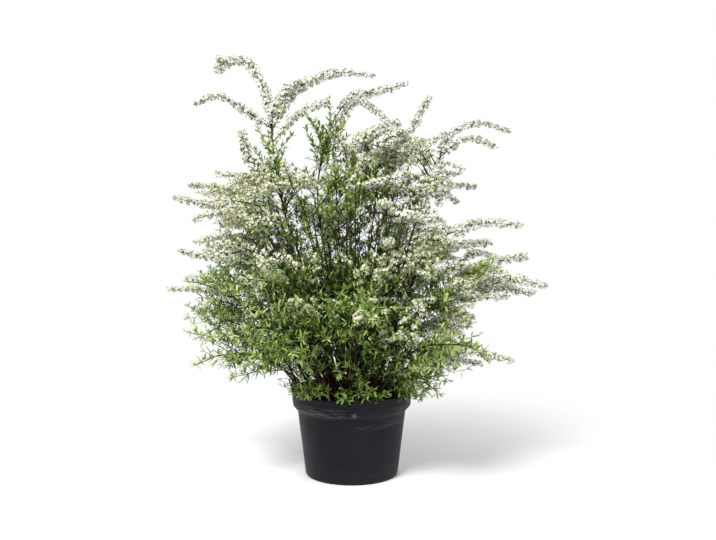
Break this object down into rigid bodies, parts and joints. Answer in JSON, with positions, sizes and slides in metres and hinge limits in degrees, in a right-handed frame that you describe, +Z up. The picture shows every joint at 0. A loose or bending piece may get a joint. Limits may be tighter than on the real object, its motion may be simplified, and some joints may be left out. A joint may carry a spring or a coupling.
{
  "type": "potted spirea",
  "caption": "Garland spirea shrub in a round plastic nursery container: thin arching canes with tapering white flower sprays and small narrow green leaves.",
  "frame": {"origin": "centre of the container's base, on the surface that it stands on", "axes": "+Z up along the container's axis; the fullest view of the shrub is from -Y"},
  "size_m": [0.8592, 0.7678, 0.9589],
  "materials": {
    "pot_plastic": "scuffed charcoal black polypropylene, satin",
    "potting_soil": "moist crumbly potting compost with bark pieces",
    "crown_bark": "rough reddish brown bark",
    "cane_bark": "thin dark brown bark, slightly glossy on young wood",
    "spray_flowers": "soft creamy white petals with yellow green centres",
    "shoot_leaves": "satin mid green leaves, yellow green when young"
  },
  "bodies": {
    "root": {"pot": "pot_plastic", "soil": "potting_soil", "crown": "crown_bark", "cane_back_far_right": "cane_bark", "cane_back_left": "cane_bark", "cane_back_middle": "cane_bark", "cane_back_right": "cane_bark", "cane_front_arch": "cane_bark", "cane_front_left": "cane_bark", "cane_front_middle": "cane_bark", "cane_front_right": "cane_bark", "cane_left_high": "cane_bark", "cane_left_low": "cane_bark", "cane_left_low_middle": "cane_bark", "cane_left_lowest": "cane_bark", "cane_left_middle": "cane_bark", "cane_right_high": "cane_bark", "cane_right_low": "cane_bark", "cane_right_lowest": "cane_bark", "cane_right_middle": "cane_bark", "cane_top_right": "cane_bark", "cane_upright_left": "cane_bark", "cane_upright_middle": "cane_bark", "flower_spray_01": "spray_flowers", "flower_spray_02": "spray_flowers", "flower_spray_03": "spray_flowers", "flower_spray_04": "spray_flowers", "flower_spray_05": "spray_flowers", "flower_spray_06": "spray_flowers", "flower_spray_07": "spray_flowers", "flower_spray_08": "spray_flowers", "flower_spray_09": "spray_flowers", "flower_spray_10": "spray_flowers", "flower_spray_11": "spray_flowers", "flower_spray_12": "spray_flowers", "flower_spray_13": "spray_flowers", "flower_spray_14": "spray_flowers", "flower_spray_15": "spray_flowers", "flower_spray_16": "spray_flowers", "flower_spray_17": "spray_flowers", "flower_spray_18": "spray_flowers", "flower_spray_19": "spray_flowers", "flower_spray_20": "spray_flowers", "flower_spray_21": "spray_flowers", "flower_spray_22": "spray_flowers", "flower_spray_23": "spray_flowers", "flower_spray_24": "spray_flowers", "flower_spray_25": "spray_flowers", "flower_spray_26": "spray_flowers", "flower_spray_27": "spray_flowers", "leafy_shoot_01": "shoot_leaves", "leafy_shoot_02": "shoot_leaves", "leafy_shoot_03": "shoot_leaves", "leafy_shoot_04": "shoot_leaves", "leafy_shoot_05": "shoot_leaves", "leafy_shoot_06": "shoot_leaves", "leafy_shoot_07": "shoot_leaves", "leafy_shoot_08": "shoot_leaves", "leafy_shoot_09": "shoot_leaves", "leafy_shoot_10": "shoot_leaves"}
  },
  "joints": []
}
